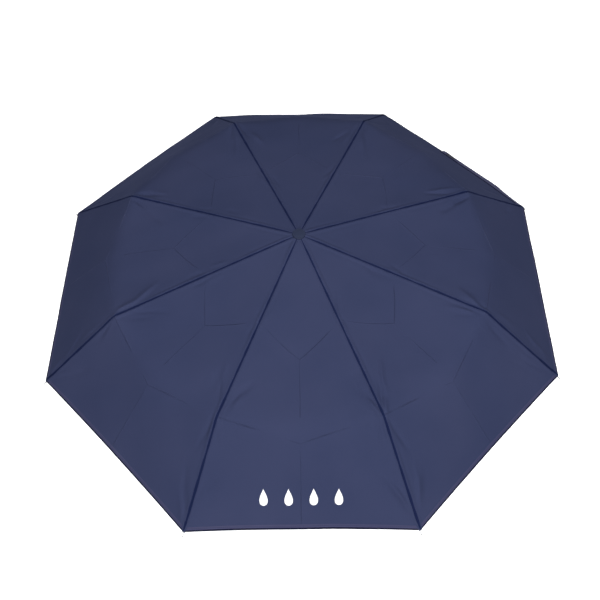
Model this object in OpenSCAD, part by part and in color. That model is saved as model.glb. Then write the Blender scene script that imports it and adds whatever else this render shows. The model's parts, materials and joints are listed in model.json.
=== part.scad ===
// Compact folding umbrella: eight three-section ribs on a telescopic shaft.
// Shown open and upright. The shaft runs along Z and the origin is the centre of the hand grip.

/* [Canopy frame] */
// Length of the inner rib section, from the crown hinge to the first elbow
top_rib_len = 162.5; // [160:0.5:165]
// Length of the middle rib section, between the two elbows
mid_rib_len = 170.5; // [168:0.5:173]
// Length of the outer rib section, from the second elbow to the end of its wire
tail_rib_len = 201; // [195:1:205]
// Downward slope of the two inner sections when open
inner_slope = 8.3; // [7.5:0.1:9]
// Downward slope of the outer section when open
tail_slope = 38.4; // [36:0.2:41]

/* [Runner and stretchers] */
// Distance of the stretcher rivet from the crown hinge, along the inner rib
stretcher_at = 78; // [76:0.5:80]
// Stretcher length between its two pivots
stretcher_len = 88; // [87:0.5:89]
// Length of the runner sleeve below its slotted flange
runner_sleeve = 31; // [26:1:34]

/* [Shaft] */
// Length of the largest, upper tube
upper_tube_len = 196; // [190:1:198]
// Travel of each of the two telescopic joints
tube_travel = 162; // [150:1:164]
// Outer radius of the upper tube
upper_tube_r = 6; // [5.8:0.1:6]
// Wall thickness of the tubes
tube_wall = 0.6; // [0.5:0.05:0.7]

/* [Handle] */
// Height of the crown hinges above the centre of the grip
hub_height = 555; // [550:1:560]
// Radius of the straight part of the grip
grip_r = 14; // [13:0.5:16]
// Length of the handle, without its collar
handle_len = 45; // [42:1:46]

/* [Canopy] */
// Thickness of the canopy cloth
cloth_t = 0.35; // [0.3:0.05:0.5]
// How far the hem is drawn inwards at the middle of a gore
hem_sag = 7; // [0:0.5:12]
// Length of the closure strap
strap_len = 200; // [150:5:220]
// Width of the closure strap
strap_w = 19; // [15:1:22]

/* [Hidden] */
$fn = 32;
rib_count = 8;
gore_angle = 360 / rib_count;
first_rib = gore_angle / 2;

// sections of the ribs: the inner channel is the widest, the others nest inside it
sheet_t = 0.5;
top_w = 4.5;
top_h = 4;
nest_w = 3;
mid_h = 3.2;
wire_r = 1.3;
link_t = 0.8;
link_h = 1.4;
web_gap = 39;
mid_web_gap = 20;
plug_start = 6;
plug_len = 3;
tab_w = 2.2;
rivet_r = 0.7;
rivet_head_r = 1.3;
rivet_head_t = 0.45;
link_rivet_r = 0.6;
pivot_clear = 0.05;
eye_r = 1.2;
tab_eye_r = 1.8;
tab_h = 3;
mid_eye_r = 1.7;
lug_r = 1.9;
stretcher_h = 3;
tail_plate_t = 1.7;
tail_eye_r = 1.7;
past = 1; // how far a cut runs past the face it opens

// hinge circles of the crown and of the runner
crown_pitch_r = 9.5;
runner_pitch_r = 8.5;
crown_r = 12.5;
crown_h = 6.2;
crown_slot_r = 6.6;
crown_slot_w = 2.7;
crown_stem_r = 3.4;
crown_stem_top = 6;
crown_spigot_len = 10;
runner_r = 11.2;
runner_flange_h = 6;
runner_slot_w = 3.5;
runner_slot_r = 6.85;
runner_bore_r = upper_tube_r + 0.1;
thumb_r = 10.4;
thumb_h = 4;

// levers of the link that folds the middle section
stretcher_lever = 6;
mid_lever = 6;
mid_lever_angle = 160;
elbow_drop = 2.2;

// pivot positions in the plane of one rib: [distance from the shaft, height above the crown hinge]
function along(from, angle, d) = from + d * [cos(angle), sin(angle)];
crown_pivot = [crown_pitch_r, 0];
elbow_1 = along(crown_pivot, -inner_slope, top_rib_len);
elbow_2_line = along(elbow_1, -inner_slope, mid_rib_len);
elbow_2 = along(elbow_2_line, -inner_slope - 90, elbow_drop);
stretcher_pivot = along(crown_pivot, -inner_slope, stretcher_at);
runner_reach = stretcher_pivot[0] - runner_pitch_r;
runner_pivot = [
    runner_pitch_r,
    stretcher_pivot[1] - sqrt(stretcher_len * stretcher_len - runner_reach * runner_reach)
];
stretcher_dir = runner_pivot - stretcher_pivot;
stretcher_angle = atan2(stretcher_dir[1], stretcher_dir[0]);
link_start = along(stretcher_pivot, stretcher_angle, stretcher_lever);
link_end = along(elbow_1, mid_lever_angle - inner_slope, mid_lever);
link_dir = link_end - link_start;
link_angle = atan2(link_dir[1], link_dir[0]);
link_len = norm(link_dir);
tail_root = along(elbow_2, 90 - tail_slope, elbow_drop);
tail_end = along(tail_root, -tail_slope, tail_rib_len);

// tips
tip_grip = 7;
tip_r = 2.3;
tip_pin_r = 1.15;
tip_pin_len = 9;
tip_ball_r = 1.7;

// shaft
fit_gap = 0.3;
slide_gap = 0.06;
crimp_len = 8;
middle_tube_r = upper_tube_r - tube_wall - fit_gap;
lower_tube_r = middle_tube_r - tube_wall - fit_gap;
crown_base = hub_height - crown_h / 2;
upper_bottom = crown_base - upper_tube_len;
middle_len = upper_tube_len - crown_spigot_len - 2;
middle_bottom = upper_bottom - tube_travel - 1;
lower_bottom = -16;
lower_top = middle_bottom + 24;

// handle
handle_low = -25;
cap_h = 8;
collar_h = 5;
collar_r = 17;
strap_hole_r = 2;
strap_hole_z = handle_low + 4;

// runner catch
catch_len = 12;
catch_t = 1.2;
catch_root_r = upper_tube_r - 0.15;
catch_out_r = 7.4;
runner_z = hub_height + runner_pivot[1];
runner_low = runner_z - runner_flange_h / 2 - runner_sleeve;
catch_top = runner_low - 0.4;
catch_side = 90;

// canopy: the cloth's underside stands a little above the metal
cloth_over_rib = 4;
cloth_over_tail = 3;
cloth_hole_r = 4.2;
gore_steps = 8;
rows_inner = 5;
rows_mid = 3;
rows_tail = 6;
cap_r = 11.3;
cap_low = 5.6;
cap_edge = 7;
cap_top = 8.2;

// places its children in the plane of rib k, at point p, with X turned to the given angle
module in_rib(k, p, angle) {
    rotate([0, 0, first_rib + (k - 1) * gore_angle])
        translate([p[0], 0, hub_height + p[1]])
            rotate([0, -angle, 0])
                children();
}

// a flat plate in the plane of the rib, centred on it and w thick
module plate(w) {
    rotate([90, 0, 0])
        linear_extrude(w, center = true)
            children();
}

// a round pin or hole across the rib
module cross_pin(x, y, r, w) {
    translate([x, 0, y])
        rotate([90, 0, 0])
            cylinder(r = r, h = w, center = true);
}

// a rivet: its shank and two flat heads against cheeks w apart over all
module rivet(x, y, w) {
    cross_pin(x, y, rivet_r, w + 2 * rivet_head_t);
    for (side = [-1, 1])
        translate([0, side * (w + rivet_head_t) / 2, 0])
            cross_pin(x, y, rivet_head_r, rivet_head_t);
}

// a straight strip from x0 to x1 between heights y0 and y1
module strip(x0, x1, y0, y1) {
    translate([x0, y0])
        square([x1 - x0, y1 - y0]);
}

// a tube with its foot at z0
module tube(outer_r, inner_r, z0, len) {
    translate([0, 0, z0])
        difference() {
            cylinder(r = outer_r, h = len, $fn = 64);
            translate([0, 0, -1])
                cylinder(r = inner_r, h = len + 2, $fn = 64);
        }
}

module top_rib(k) {
    channel_end = top_rib_len + top_h / 2 + past;
    color("silver")
        in_rib(k, crown_pivot, -inner_slope) {
            difference() {
                plate(top_w) {
                    strip(plug_start, top_rib_len, -top_h / 2, top_h / 2);
                    translate([top_rib_len, 0])
                        circle(r = top_h / 2);
                }
                plate(top_w - 2 * sheet_t)
                    strip(plug_start + plug_len, channel_end, -top_h, top_h / 2 - sheet_t);
                plate(top_w - 2 * sheet_t)
                    strip(top_rib_len - web_gap, channel_end, -top_h, top_h);
            }
            difference() {
                plate(tab_w) {
                    circle(r = tab_eye_r);
                    strip(0, plug_start + past, -tab_h / 2, tab_h / 2);
                }
                cross_pin(0, 0, rivet_r + pivot_clear, top_w);
            }
            rivet(stretcher_at, 0, top_w);
            rivet(top_rib_len, 0, top_w);
        }
}

// two parallel cheeks with nothing between them, for an outline that reaches no further than len
module cheeks(len) {
    difference() {
        plate(nest_w)
            children();
        plate(nest_w - 2 * sheet_t)
            strip(-len, 2 * len, -len, len);
    }
}

module stretcher(k) {
    half = stretcher_h / 2;
    web_start = 10;
    web_end = stretcher_len - 5;
    color("silver")
        in_rib(k, stretcher_pivot, stretcher_angle) {
            difference() {
                cheeks(stretcher_len) {
                    circle(r = half);
                    strip(0, stretcher_len, -half, half - 0.1);
                    translate([stretcher_len, 0])
                        circle(r = half);
                }
                cross_pin(0, 0, rivet_r + pivot_clear, top_w);
                cross_pin(stretcher_len, 0, rivet_r + pivot_clear, top_w);
            }
            plate(nest_w)
                strip(web_start, web_end, -half, -half + sheet_t);
            cross_pin(stretcher_lever, 0, link_rivet_r, nest_w);
        }
}

module link(k) {
    color("gainsboro")
        in_rib(k, link_start, link_angle)
            difference() {
                plate(link_t) {
                    circle(r = eye_r);
                    strip(0, link_len, -link_h / 2, link_h / 2);
                    translate([link_len, 0])
                        circle(r = eye_r);
                }
                cross_pin(0, 0, link_rivet_r + pivot_clear, top_w);
                cross_pin(link_len, 0, link_rivet_r, top_w);
            }
}

module mid_rib(k) {
    half = mid_h / 2;
    gusset_len = 9;
    gusset_end = [mid_rib_len - 1.2, -half - 2];
    color("silver")
        in_rib(k, elbow_1, -inner_slope) {
            difference() {
                cheeks(mid_rib_len) {
                    circle(r = mid_eye_r);
                    strip(0, mid_rib_len + lug_r, -half, half);
                    rotate(mid_lever_angle)
                        strip(0, mid_lever, -eye_r, eye_r);
                    rotate(mid_lever_angle)
                        translate([mid_lever, 0])
                            circle(r = eye_r);
                    translate([mid_rib_len, -elbow_drop])
                        circle(r = lug_r);
                    translate([mid_rib_len, 0])
                        strip(-lug_r, lug_r, -elbow_drop, half);
                    polygon([[mid_rib_len - gusset_len, -half], [mid_rib_len, -half], gusset_end]);
                }
                cross_pin(0, 0, rivet_r + pivot_clear, top_w);
                rotate([0, -mid_lever_angle, 0])
                    cross_pin(mid_lever, 0, link_rivet_r, top_w);
            }
            plate(nest_w)
                strip(mid_web_gap, mid_rib_len + lug_r, half - sheet_t, half);
            rivet(mid_rib_len, -elbow_drop, nest_w);
        }
}

module tail_rib(k) {
    wire_start = 4;
    neck = [
        [-1.6, 0], [-0.2, 2.6], [3, 3.3], [12, 3.3], [12, 1.1], [1.3, -1.1]
    ];
    color("dimgray")
        in_rib(k, elbow_2, -tail_slope) {
            difference() {
                plate(tail_plate_t) {
                    circle(r = tail_eye_r);
                    polygon(neck);
                }
                cross_pin(0, 0, rivet_r + pivot_clear, top_w);
            }
            translate([wire_start, 0, elbow_drop])
                rotate([0, 90, 0])
                    cylinder(r = wire_r, h = tail_rib_len - wire_start, $fn = 24);
        }
}

// a metal cap on the end of the wire, with a rounded pin that holds the cloth's corner
module rib_tip(k) {
    bore_r = wire_r + pivot_clear;
    face = tip_grip + 1;
    pin_end = face + tip_pin_len;
    color("gainsboro")
        in_rib(k, tail_root, -tail_slope)
            translate([tail_rib_len - tip_grip, 0, 0])
                rotate([0, 90, 0])
                    rotate_extrude($fn = 32)
                        polygon([
                            [bore_r, 0], [tip_r, 0], [tip_r, face], [tip_pin_r, face],
                            [tip_pin_r, pin_end - 2], [tip_ball_r, pin_end - 1.3],
                            [tip_ball_r, pin_end - 0.5], [tip_ball_r - 0.6, pin_end],
                            [0, pin_end], [0, tip_grip + 0.1], [bore_r, tip_grip + 0.1]
                        ]);
}

module crown() {
    color("dimgray") {
        difference() {
            translate([0, 0, crown_base])
                cylinder(r = crown_r, h = crown_h, $fn = 64);
            for (k = [1:rib_count])
                in_rib(k, [crown_slot_r, 0], 0)
                    translate([0, -crown_slot_w / 2, -crown_h])
                        cube([crown_r, crown_slot_w, crown_h + 2.2]);
        }
        for (k = [1:rib_count])
            in_rib(k, crown_pivot, 0)
                cross_pin(0, 0, rivet_r, crown_slot_w + 1);
        translate([0, 0, crown_base - crown_spigot_len])
            cylinder(r = upper_tube_r - tube_wall - slide_gap, h = crown_spigot_len + 1, $fn = 64);
        translate([0, 0, hub_height])
            cylinder(r = crown_stem_r, h = crown_stem_top, $fn = 64);
    }
}

module top_cap() {
    color("midnightblue")
        translate([0, 0, hub_height])
            rotate_extrude($fn = 96)
                polygon([
                    [0, crown_stem_top], [crown_stem_r + 0.3, crown_stem_top],
                    [crown_stem_r + 0.3, cap_low], [cap_r, cap_low - 0.3], [cap_r, cap_edge],
                    [cap_r - 0.8, cap_edge + 0.8], [0, cap_top]
                ]);
}

module runner() {
    flange_low = runner_z - runner_flange_h / 2;
    color("dimgray")
        difference() {
            union() {
                translate([0, 0, flange_low])
                    cylinder(r = runner_r, h = runner_flange_h, $fn = 64);
                translate([0, 0, runner_low])
                    cylinder(r = runner_slot_r, h = runner_sleeve + 1, $fn = 64);
                translate([0, 0, runner_low])
                    cylinder(r = thumb_r, h = thumb_h, $fn = 64);
            }
            translate([0, 0, runner_low - 1])
                cylinder(r = runner_bore_r, h = runner_sleeve + runner_flange_h + 2, $fn = 64);
            for (k = [1:rib_count])
                in_rib(k, [runner_slot_r, runner_pivot[1]], 0)
                    translate([0, -runner_slot_w / 2, -runner_flange_h])
                        cube([runner_r, runner_slot_w, 2 * runner_flange_h]);
        }
}

// a sprung wedge in the upper tube that holds the runner up
module runner_catch() {
    color("silver")
        rotate([0, 0, catch_side])
            translate([0, 0, catch_top])
                plate(catch_t)
                    polygon([
                        [catch_root_r, 0], [catch_out_r, 0], [catch_out_r, -2],
                        [catch_root_r + 0.3, -catch_len], [catch_root_r, -catch_len]
                    ]);
}

module upper_tube() {
    inner_r = upper_tube_r - tube_wall;
    color("silver")
        difference() {
            union() {
                tube(upper_tube_r, inner_r, upper_bottom, upper_tube_len);
                tube(upper_tube_r, middle_tube_r + slide_gap, upper_bottom, crimp_len);
            }
            rotate([0, 0, catch_side])
                translate([0, -catch_t / 2 - fit_gap, catch_top - catch_len - 1])
                    cube([2 * upper_tube_r, catch_t + 2 * fit_gap, catch_len + 2]);
        }
}

module middle_tube() {
    inner_r = middle_tube_r - tube_wall;
    top = middle_bottom + middle_len;
    keyway = 97;
    color("silver")
        difference() {
            union() {
                tube(middle_tube_r, inner_r, middle_bottom, middle_len);
                tube(middle_tube_r, lower_tube_r + slide_gap, middle_bottom, crimp_len);
                tube(upper_tube_r - tube_wall - slide_gap, inner_r, top - crimp_len / 2, crimp_len / 2);
            }
            // keyway that the pressed catch runs in when the shaft is pushed together
            rotate([0, 0, catch_side])
                translate([0, -catch_t / 2 - fit_gap, top - keyway])
                    cube([2 * upper_tube_r, catch_t + 2 * fit_gap, keyway + 1]);
        }
}

module lower_tube() {
    inner_r = lower_tube_r - tube_wall;
    color("silver") {
        tube(lower_tube_r, inner_r, lower_bottom, lower_top - lower_bottom);
        tube(middle_tube_r - tube_wall - slide_gap, inner_r, lower_top - crimp_len / 2, crimp_len / 2);
    }
}

module handle() {
    low = handle_low + cap_h;
    high = handle_low + handle_len;
    bore_r = lower_tube_r + pivot_clear;
    color([0.08, 0.08, 0.1])
        rotate_extrude($fn = 96)
            polygon([
                [bore_r, lower_bottom], [bore_r, high], [grip_r - 1, high], [grip_r, high - 1],
                [grip_r, low], [0, low], [0, lower_bottom]
            ]);
}

module handle_cap() {
    color([0.1, 0.1, 0.12])
        difference() {
            translate([0, 0, handle_low])
                rotate_extrude($fn = 96)
                    polygon([
                        [0, 0], [grip_r - 2.5, 0], [grip_r - 1, 1.5], [grip_r - 1, cap_h], [0, cap_h]
                    ]);
            translate([0, 0, strap_hole_z])
                rotate([90, 0, 0])
                    cylinder(r = strap_hole_r, h = 3 * grip_r, center = true);
        }
}

module handle_collar() {
    low = handle_low + handle_len;
    bore_r = lower_tube_r + pivot_clear;
    color("gray")
        rotate_extrude($fn = 96)
            polygon([
                [bore_r, low], [grip_r, low], [collar_r, low + 2], [collar_r, low + collar_h],
                [collar_r - 1.5, low + collar_h], [collar_r - 2.5, low + collar_h - 2],
                [bore_r, low + collar_h - 2]
            ]);
}

// the underside of the cloth above one rib, from the crown to the hem
function mix(a, b, t) = a + (b - a) * t;
rib_up = 90 - inner_slope;
cloth_rise = cloth_over_rib / cos(inner_slope);
cloth_root = [cloth_hole_r, (crown_pitch_r - cloth_hole_r) * tan(inner_slope) + cloth_rise];
cloth_bend_r = (cloth_over_rib + elbow_drop) / cos((tail_slope - inner_slope) / 2);
cloth_elbow = along(elbow_2, 90 - (tail_slope + inner_slope) / 2, cloth_bend_r);
cloth_first = along(elbow_1, rib_up, cloth_over_rib);
cloth_end = along(tail_end, 90 - tail_slope, cloth_over_tail);
cloth_line = concat(
    [for (i = [0:rows_inner - 1]) mix(cloth_root, cloth_first, i / rows_inner)],
    [for (i = [0:rows_mid - 1]) mix(cloth_first, cloth_elbow, i / rows_mid)],
    [for (i = [0:rows_tail]) mix(cloth_elbow, cloth_end, i / rows_tail)]
);
cloth_rows = len(cloth_line);
half_gore = gore_angle / 2;

// how far across a gore: 0 on a rib, 1 half-way to the next
function gore_share(angle) = 1 - pow(abs(angle) / half_gore, 2);

// a point of the cloth at an angle from the middle of a gore, at height lift above the underside
function cloth_point(p, angle, sag, lift) =
    let (flat_r = p[0] * cos(half_gore) / cos(angle) - sag * gore_share(angle))
    [flat_r, p[1] + sag * gore_share(angle) * sin(tail_slope) + lift];

// the whole ring of points of one row, gore by gore
function ring(row, lift) =
    let (
        p = cloth_line[row],
        share = max(0, (row - cloth_rows + 1 + rows_tail) / rows_tail),
        sag = hem_sag * pow(share, 3)
    )
    [
        for (g = [0:rib_count - 1], i = [0:gore_steps - 1])
            let (
                angle = -half_gore + gore_angle * i / gore_steps,
                q = cloth_point(p, angle, sag, lift),
                turn = (g + 1) * gore_angle + angle
            )
            [q[0] * cos(turn), q[0] * sin(turn), hub_height + q[1]]
    ];

ring_count = rib_count * gore_steps;

// faces of a closed sheet: two skins of rings, joined at the first and the last ring
function skin(first, flip) = [
    for (r = [0:cloth_rows - 2], i = [0:ring_count - 1])
        let (
            j = (i + 1) % ring_count,
            a = first + r * ring_count + i,
            b = first + r * ring_count + j,
            c = b + ring_count,
            d = a + ring_count
        )
        flip ? [a, b, c, d] : [d, c, b, a]
];
function rim(under, over, flip) = [
    for (i = [0:ring_count - 1])
        let (j = (i + 1) % ring_count)
        flip ? [under + i, over + i, over + j, under + j] : [under + j, over + j, over + i, under + i]
];

module canopy() {
    upper = cloth_rows * ring_count;
    last = upper - ring_count;
    points = concat(
        [for (r = [0:cloth_rows - 1]) each ring(r, 0)],
        [for (r = [0:cloth_rows - 1]) each ring(r, cloth_t)]
    );
    faces = concat(
        skin(0, false),
        skin(upper, true),
        rim(0, upper, false),
        rim(last, upper + last, true)
    );
    color([0.13, 0.15, 0.26])
        polyhedron(points, faces, convexity = 6);
}

// a strap sewn along the hem beside the first rib, on the outside of the cloth
module closure_strap() {
    steps = 10;
    strap_start = 6;
    hem_back = 5;
    over = cloth_t + 0.3;
    strap_t = 0.8;
    slope_in = [-cos(tail_slope), sin(tail_slope)];
    points = [
        for (i = [0:steps], side = [0, 1], lift = [over, over + strap_t])
            let (
                p = cloth_end + (hem_back + side * strap_w) * slope_in,
                half_hem = p[0] * sin(half_gore),
                across = half_hem - strap_start - strap_len * i / steps,
                angle = atan2(-across, p[0] * cos(half_gore)),
                q = cloth_point(p, angle, hem_sag * (1 - side * 0.25), lift),
                turn = gore_angle + angle
            )
            [q[0] * cos(turn), q[0] * sin(turn), hub_height + q[1]]
    ];
    walls = [
        for (i = [0:steps - 1], e = [[0, 1], [1, 3], [3, 2], [2, 0]])
            [4 * i + e[0], 4 * i + e[1], 4 * i + 4 + e[1], 4 * i + 4 + e[0]]
    ];
    color([0.1, 0.12, 0.2])
        polyhedron(points, concat(walls, [[0, 2, 3, 1], [for (e = [1, 3, 2, 0]) 4 * steps + e]]));
}

canopy();
closure_strap();
top_cap();
crown();
runner();
runner_catch();
upper_tube();
middle_tube();
lower_tube();
handle();
handle_cap();
handle_collar();
for (k = [1:rib_count]) {
    top_rib(k);
    mid_rib(k);
    tail_rib(k);
    rib_tip(k);
    stretcher(k);
    link(k);
}
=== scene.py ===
import json
import math

import bpy
import numpy as np
from mathutils import Matrix, Vector


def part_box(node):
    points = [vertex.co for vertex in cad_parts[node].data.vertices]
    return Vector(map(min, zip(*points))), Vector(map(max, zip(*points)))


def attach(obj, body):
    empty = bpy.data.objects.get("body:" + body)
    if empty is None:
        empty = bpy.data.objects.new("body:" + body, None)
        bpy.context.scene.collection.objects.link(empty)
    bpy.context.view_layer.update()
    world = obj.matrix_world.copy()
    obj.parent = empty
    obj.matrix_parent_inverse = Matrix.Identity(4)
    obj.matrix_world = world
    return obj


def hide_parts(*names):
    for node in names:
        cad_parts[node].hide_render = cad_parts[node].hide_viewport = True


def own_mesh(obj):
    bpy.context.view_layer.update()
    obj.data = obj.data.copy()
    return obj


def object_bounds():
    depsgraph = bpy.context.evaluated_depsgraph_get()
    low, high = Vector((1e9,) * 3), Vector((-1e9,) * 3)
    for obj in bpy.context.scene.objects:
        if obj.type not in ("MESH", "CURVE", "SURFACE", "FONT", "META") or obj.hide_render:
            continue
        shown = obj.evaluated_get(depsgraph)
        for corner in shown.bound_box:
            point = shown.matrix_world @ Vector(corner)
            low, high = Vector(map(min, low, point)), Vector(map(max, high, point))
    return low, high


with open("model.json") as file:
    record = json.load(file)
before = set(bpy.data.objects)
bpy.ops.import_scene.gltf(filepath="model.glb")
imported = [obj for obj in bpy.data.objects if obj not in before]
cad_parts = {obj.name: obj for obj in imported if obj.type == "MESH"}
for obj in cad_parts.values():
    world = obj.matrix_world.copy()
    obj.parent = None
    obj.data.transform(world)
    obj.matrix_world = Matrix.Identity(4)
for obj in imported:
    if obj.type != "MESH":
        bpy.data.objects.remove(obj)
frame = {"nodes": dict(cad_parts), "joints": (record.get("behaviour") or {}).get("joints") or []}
CAD_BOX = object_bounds()

MM = 0.001
RIBS = 8
GORE = math.radians(360 / RIBS)
HALF = GORE / 2
FOLD = "canopy_fold"
JOINTS = {j["name"]: j for j in frame["joints"]}

# ---------------------------------------------------------------- places taken from the frame


def pivot(name):
    """A hinge's place in the plane of its rib: distance from the shaft, and height."""
    x, y, z = JOINTS[name]["pos_m"]
    return np.array([math.hypot(x, y), z])


def unit(angle):
    return np.array([math.cos(angle), math.sin(angle)])


CROWN_PIVOT = pivot(FOLD)
ELBOW_1 = pivot("elbow_hinge_1")
ELBOW_2 = pivot("outer_hinge_1")
CANOPY_LOW, CANOPY_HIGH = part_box("canopy")
CAP_LOW, CAP_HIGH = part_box("top_cap")
STEM_R = 4.2 * MM
CLOTH_T = 0.4 * MM
CLOTH_OVER_RIB = 4.0 * MM + CLOTH_T  # to the cloth's outer face
HEM_SAG = 2 * MM  # how far the hem draws in at the middle of a gore
HEM_RISE = 5 * MM  # how far it rises there
GORE_SAG = 3.5 * MM  # how far the cloth sinks between two ribs

INNER_SLOPE = math.atan2(CROWN_PIVOT[1] - ELBOW_1[1], ELBOW_1[0] - CROWN_PIVOT[0])
HUB_Z = CROWN_PIVOT[1]
TIP = np.array([CANOPY_HIGH[0] / math.cos(HALF), CANOPY_LOW[2] + CLOTH_T])
ROOT = np.array([
    STEM_R,
    HUB_Z + (CROWN_PIVOT[0] - STEM_R) * math.tan(INNER_SLOPE)
    + CLOTH_OVER_RIB / math.cos(INNER_SLOPE),
])
FIRST = ELBOW_1 + CLOTH_OVER_RIB * unit(math.pi / 2 - INNER_SLOPE)
DROP = 2.2 * MM  # extra height of the cloth over the outer hinge
TAIL_SLOPE = math.atan2(ELBOW_2[1] - TIP[1], TIP[0] - ELBOW_2[0])
BEND = ELBOW_2 + (CLOTH_OVER_RIB + DROP) / math.cos((TAIL_SLOPE - INNER_SLOPE) / 2) * unit(
    math.pi / 2 - (TAIL_SLOPE + INNER_SLOPE) / 2
)
SLOPE_IN = (ROOT[1] - BEND[1]) / (BEND[0] - ROOT[0])
SLOPE_OUT = (BEND[1] - TIP[1]) / (TIP[0] - BEND[0])


def rib_angle(k):
    return HALF + (k - 1) * GORE


# ---------------------------------------------------------------- the cloth's shape


class Wrinkle:
    """A soft ridge or valley in the cloth, in a rib's own coordinates: u out along it, v across."""

    def __init__(self, u, v, turn, length, width, height):
        self.u, self.v, self.length, self.width, self.height = u, v, length, width, height
        self.cos, self.sin = math.cos(turn), math.sin(turn)

    def lift(self, u, v):
        du, dv = u - self.u, v - self.v
        along = (du * self.cos + dv * self.sin) / self.length
        across = (dv * self.cos - du * self.sin) / self.width
        taper = np.clip(1 - along**2, 0, 1) ** 2
        return self.height * taper * np.exp(-(across**2))


def make_wrinkles():
    """Tension folds that run from each elbow and each hem corner, different on every rib."""
    rng = np.random.default_rng(21)
    spread = rng.uniform
    # where a group starts, how many, and the ranges of: distance back (mm), turn, length, width, height (mm)
    groups = (
        (BEND[0], 4, (10, 70), (-26, -5), (22, 46), (3.6, 6.5), (1.2, 2.6)),
        (BEND[0], 2, (-50, -12), (5, 22), (24, 44), (4.0, 7.0), (1.0, 2.0)),
        (TIP[0], 3, (24, 75), (-30, -10), (22, 46), (3.6, 6.0), (1.0, 2.2)),
        (FIRST[0], 2, (-25, 35), (-22, 22), (16, 34), (3.2, 5.5), (0.5, 1.2)),
    )
    found = {}
    for k in range(1, RIBS + 1):
        folds = []
        for side in (-1, 1):
            for start, count, back, turn, length, width, height in groups:
                for _ in range(count):
                    away = spread(*back) * MM
                    across = abs(away) * spread(0.16, 0.42) + 5 * MM
                    folds.append(Wrinkle(
                        start - away, side * across, side * math.radians(spread(*turn)), spread(*length) * MM,
                        spread(*width) * MM, spread(*height) * MM * rng.choice([-1, 1]),
                    ))
        found[k] = folds
    return found


def make_waves():
    """Very low, wide undulation over the whole canopy, as a sum of a few plane waves."""
    rng = np.random.default_rng(7)
    waves = []
    for length, height in ((190, 1.0), (140, 0.8), (95, 0.45), (62, 0.25), (40, 0.1)):
        for _ in range(3):
            turn = rng.uniform(0, math.pi)
            waves.append((math.cos(turn) * 2 * math.pi / (length * MM), math.sin(turn) * 2 * math.pi / (length * MM),
                          rng.uniform(0, 2 * math.pi), height * MM / 2))
    return waves


WRINKLES = make_wrinkles()
WAVES = make_waves()
LIP = 5 * MM  # the rounded lip of the cloth over each outer hinge: its size, and its width below
LIP_W = 18 * MM
WELT_AT = 4.2 * MM  # a welt's distance from the rib's middle line, then its width and height
WELT_W = 1.9 * MM
WELT_HIGH = 0.75 * MM
VALLEY_W = 1.3 * MM
VALLEY_DEEP = 0.6 * MM
DITCH_AT = 8.5 * MM  # the shallow ditch outside each welt
DITCH_W = 3 * MM
DITCH_DEEP = 0.35 * MM
BEND_OUT = 40 * MM  # how far out of the straight line the bend runs at the middle of a gore
FIRST_OUT = 70 * MM  # the same for the crease at the first elbow


def ridge(distance, width):
    return np.exp(-((distance / width) ** 2))


def cloth_height(x, y):
    """Height of the cloth's outer face over the point (x, y). Works on arrays."""
    radius = np.hypot(x, y)
    azimuth = np.arctan2(y, x)
    k = np.floor((azimuth % (2 * math.pi)) / GORE).astype(int) % RIBS
    turn = azimuth - (HALF + k * GORE)
    turn = (turn + math.pi) % (2 * math.pi) - math.pi
    u, v = radius * np.cos(turn), radius * np.sin(turn)
    off = HALF - np.abs(turn)
    share = 1 - (off / HALF) ** 2
    chord = radius * np.cos(off) / math.cos(HALF)

    # two slopes that meet at the elbow: sharp on the rib, rounded off between the ribs
    round_off = (5 + 20 * share) * MM
    middle = 1 - off / HALF
    knee = BEND[0] + 0.8 * BEND_OUT * middle
    past = chord - knee
    bend = (past + np.sqrt(past**2 + round_off**2)) / 2
    knee_z = BEND[1] - SLOPE_IN * (knee - BEND[0])
    turn_down = (knee_z - TIP[1]) / (TIP[0] - knee) - SLOPE_IN
    z = BEND[1] - SLOPE_IN * (chord - BEND[0]) - turn_down * bend
    z += turn_down * LIP / 2 * ridge(past, LIP_W) * (1 - share)
    z += HEM_RISE * share * np.clip(past / (TIP[0] - knee), 0, 1) ** 2
    out = np.clip(chord / TIP[0], 0, 1.02)
    z -= GORE_SAG * share * np.sin(math.pi * np.clip(out, 0, 1)) ** 2

    # the seam over the rib: a stitched valley between two puckered welts, one stronger than the other
    across = np.abs(v)
    pucker = 1 + 0.35 * np.sin(u * 2 * math.pi / (7 * MM) + k) * np.sin(u * 2 * math.pi / (61 * MM) + 3 * k)
    drawn = 0.55 + 0.45 * np.sin(u * 2 * math.pi / (170 * MM) + 1.7 * k + np.sign(v))
    z += WELT_HIGH * pucker * drawn * ridge(across - WELT_AT, WELT_W)
    z -= VALLEY_DEEP * ridge(across, VALLEY_W)
    z -= DITCH_DEEP * drawn * ridge(across - DITCH_AT, DITCH_W)

    for a, b, c, height in WAVES:
        z += height * np.sin(a * x + b * y + c) * np.clip(share * 1.4, 0, 1) * np.clip(out * 1.3, 0, 1)
    fade = np.clip((HALF - np.abs(turn)) * radius / (14 * MM), 0, 1) * np.clip((across - 3 * MM) / (5 * MM), 0, 1)
    for index in range(RIBS):
        here = k == index
        if not np.any(here):
            continue
        lift = np.zeros_like(z)
        for w in WRINKLES[index + 1]:
            lift += w.lift(u, v)
        z += np.where(here, lift * fade, 0)
    return z


def cloth_frame(x, y):
    """Points and unit normals of the outer face."""
    step = 0.4 * MM
    z = cloth_height(x, y)
    dx = (cloth_height(x + step, y) - cloth_height(x - step, y)) / (2 * step)
    dy = (cloth_height(x, y + step) - cloth_height(x, y - step)) / (2 * step)
    normal = np.stack([-dx, -dy, np.ones_like(z)], -1)
    normal /= np.linalg.norm(normal, axis=-1, keepdims=True)
    return np.stack([x, y, z], -1), normal


SEAM_COLUMNS = 2  # columns of the grid on each side of a rib that carry the seam's painted shade
NEAR_STEPS = 14  # columns close to the seam, as wide as those that carry it
FAR_STEPS = 22


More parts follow.
